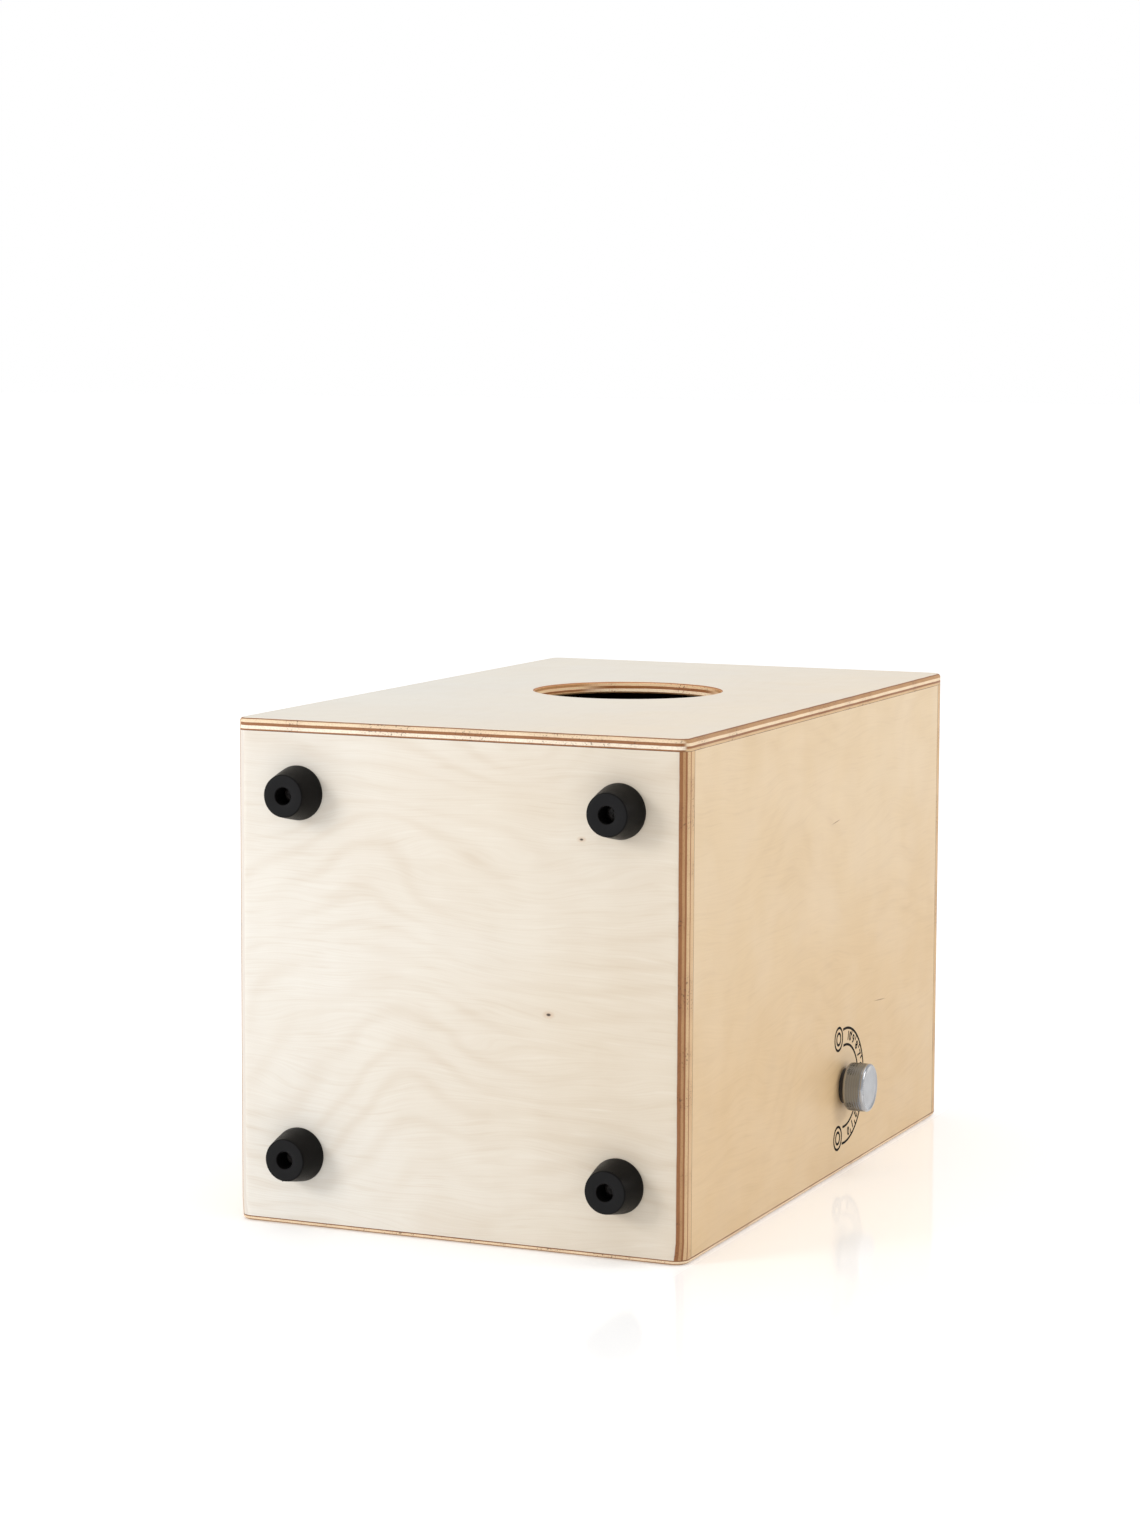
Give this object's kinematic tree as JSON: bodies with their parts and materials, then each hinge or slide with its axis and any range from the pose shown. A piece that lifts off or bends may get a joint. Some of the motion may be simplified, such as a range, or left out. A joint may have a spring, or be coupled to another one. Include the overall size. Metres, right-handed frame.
{
  "type": "cajon",
  "caption": "Wooden box drum lying on its thin playing face, with a round sound hole, rubber feet and a side knob that turns snare wires on or off.",
  "frame": {"origin": "centre of the playing face (the outer face of the tapa), which lies on the floor", "axes": "+Z runs from the playing face up to the back panel with the sound hole; +Y runs along the length from the rubber feet to the seat, so the feet point along -Y; +X is the side with the knob. To stand the cajon on its feet, turn it so that +Y points up."},
  "size_m": [0.318, 0.51, 0.316],
  "materials": {
    "tapa_veneer": "clear satin birch veneer",
    "back_veneer": "clear satin pale birch veneer with ply edges",
    "bottom_veneer": "clear satin cream birch veneer with ply edges",
    "seat_veneer": "clear satin birch veneer with ply edges",
    "side_veneer": "clear satin honey birch veneer",
    "batten_wood": "planed, unfinished",
    "foot_rubber": "matte moulded black",
    "knob_chrome": "turned and plated",
    "black_bush": "blackened",
    "black_steel": "blackened",
    "zinc_steel": "zinc plated",
    "shaft_steel": "drawn bright bar",
    "snare_steel": "drawn bright wire",
    "clamp_brass": "satin",
    "nylon": "natural nylon"
  },
  "bodies": {
    "box": {"back_panel": "back_veneer", "bearing_block": "batten_wood", "bearing_block_screws": "zinc_steel", "bottom_panel": "bottom_veneer", "bush_nut": "black_bush", "bush_washer": "zinc_steel", "corner_batten_bottom_left": "batten_wood", "corner_batten_bottom_right": "batten_wood", "corner_batten_seat_left": "batten_wood", "corner_batten_seat_right": "batten_wood", "foot_back_left": "foot_rubber", "foot_back_right": "foot_rubber", "foot_front_left": "foot_rubber", "foot_front_right": "foot_rubber", "foot_screws": "zinc_steel", "foot_washers": "zinc_steel", "seat_panel": "seat_veneer", "shaft_bush": "black_bush", "side_panel_left": "side_veneer", "side_panel_right": "side_veneer", "tapa": "tapa_veneer", "tapa_batten_bottom": "batten_wood", "tapa_batten_left": "batten_wood", "tapa_batten_right": "batten_wood", "tapa_batten_seat": "batten_wood", "tapa_screws": "black_steel"},
    "snare_control": {"knob": "knob_chrome", "knob_grub_screw": "black_steel", "snare_shaft": "shaft_steel", "snare_roller": "batten_wood", "roller_pins": "shaft_steel", "thrust_washer_left": "nylon", "thrust_washer_right": "nylon", "snare_wires_left": "snare_steel", "snare_wires_right": "snare_steel", "snare_clamp_left": "clamp_brass", "snare_clamp_right": "clamp_brass", "snare_clamp_screws": "zinc_steel"}
  },
  "joints": [
    {"name": "snare_knob", "type": "hinge", "parent": "box", "child": "snare_control", "pos_m": [0, 0.043, 0.057], "axis": [1, 0, 0], "range_deg": [0, 180]}
  ]
}
